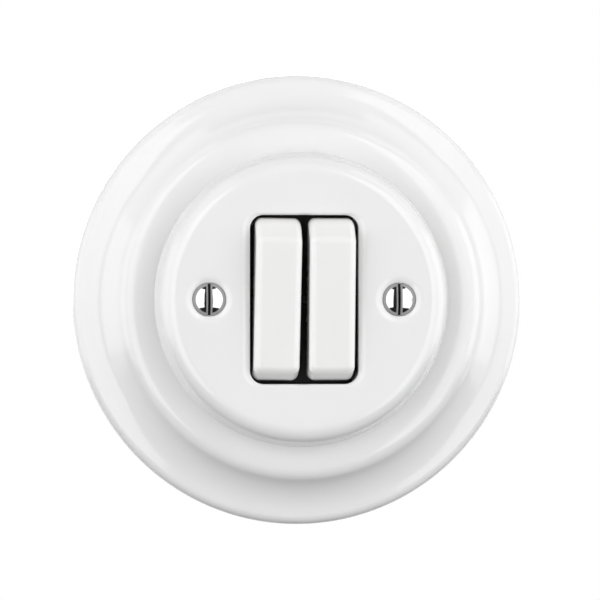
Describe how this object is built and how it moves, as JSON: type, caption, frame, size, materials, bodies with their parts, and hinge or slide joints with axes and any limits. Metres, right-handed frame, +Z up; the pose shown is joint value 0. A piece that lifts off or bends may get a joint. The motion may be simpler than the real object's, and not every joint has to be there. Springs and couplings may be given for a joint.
{
  "type": "light switch",
  "caption": "Round white porcelain wall switch: a stepped frame ring, a cap-like cover held by slotted screws, and long rockers side by side that tilt see-saw contacts.",
  "frame": {"origin": "on the switch's axis, in the plane of the wall that the ring stands on", "axes": "front along -Y, +Z up the wall, +X to the right as the user sees it"},
  "size_m": [0.1, 0.0436, 0.1],
  "materials": {
    "porcelain": "gloss",
    "plated_screw": "polished",
    "black_moulding": "matte",
    "pale_moulding": "satin",
    "zinc_steel": "satin",
    "blued_steel": "satin",
    "spring_steel": "satin",
    "brass": "satin",
    "contact_silver": "satin",
    "white_nylon": "satin"
  },
  "bodies": {
    "switch": {"frame_ring": "porcelain", "cover": "porcelain", "cover_screws": "plated_screw", "cover_posts": "brass", "support_plate": "zinc_steel", "mechanism_hood": "black_moulding", "rocker_axle": "blued_steel", "mechanism_base": "pale_moulding", "mechanism_screws": "zinc_steel", "fixed_contacts": "contact_silver", "terminal_clamps": "zinc_steel", "terminal_screws": "zinc_steel", "left_common_terminal": "brass", "left_upper_terminal": "brass", "left_lower_terminal": "brass", "right_common_terminal": "brass", "right_upper_terminal": "brass", "right_lower_terminal": "brass"},
    "left_rocker": {"left_rocker": "porcelain", "left_yoke": "black_moulding", "left_spring": "spring_steel"},
    "left_plunger": {"left_plunger": "white_nylon"},
    "left_blade": {"left_contact_blade": "brass", "left_blade_contacts": "contact_silver"},
    "right_rocker": {"right_rocker": "porcelain", "right_yoke": "black_moulding", "right_spring": "spring_steel"},
    "right_plunger": {"right_plunger": "white_nylon"},
    "right_blade": {"right_contact_blade": "brass", "right_blade_contacts": "contact_silver"}
  },
  "joints": [
    {"name": "left_rocker_tilt", "type": "hinge", "parent": "switch", "child": "left_rocker", "pos_m": [0, -0.01261, 0], "axis": [-1, 0, 0], "range_deg": [0, 11]},
    {"name": "left_plunger_slide", "type": "slide", "parent": "left_rocker", "child": "left_plunger", "axis": [0, -0.9954, -0.0958], "range_m": [0, 0.0005], "stiffness_N_per_m": 300, "deforming": ["left_spring"]},
    {"name": "left_blade_tilt", "type": "hinge", "parent": "switch", "child": "left_blade", "pos_m": [-0.00595, 0.00541, 0], "axis": [-1, 0, 0], "range_deg": [-17, 0]},
    {"name": "right_rocker_tilt", "type": "hinge", "parent": "switch", "child": "right_rocker", "pos_m": [0, -0.01261, 0], "axis": [-1, 0, 0], "range_deg": [0, 11]},
    {"name": "right_plunger_slide", "type": "slide", "parent": "right_rocker", "child": "right_plunger", "axis": [0, -0.9954, -0.0958], "range_m": [0, 0.0005], "stiffness_N_per_m": 300, "deforming": ["right_spring"]},
    {"name": "right_blade_tilt", "type": "hinge", "parent": "switch", "child": "right_blade", "pos_m": [0.00595, 0.00541, 0], "axis": [-1, 0, 0], "range_deg": [-17, 0]}
  ],
  "couplings": [
    {"joint": "left_blade_tilt", "follows": "left_rocker_tilt", "ratio": -1.5455},
    {"joint": "right_blade_tilt", "follows": "right_rocker_tilt", "ratio": -1.5455}
  ]
}
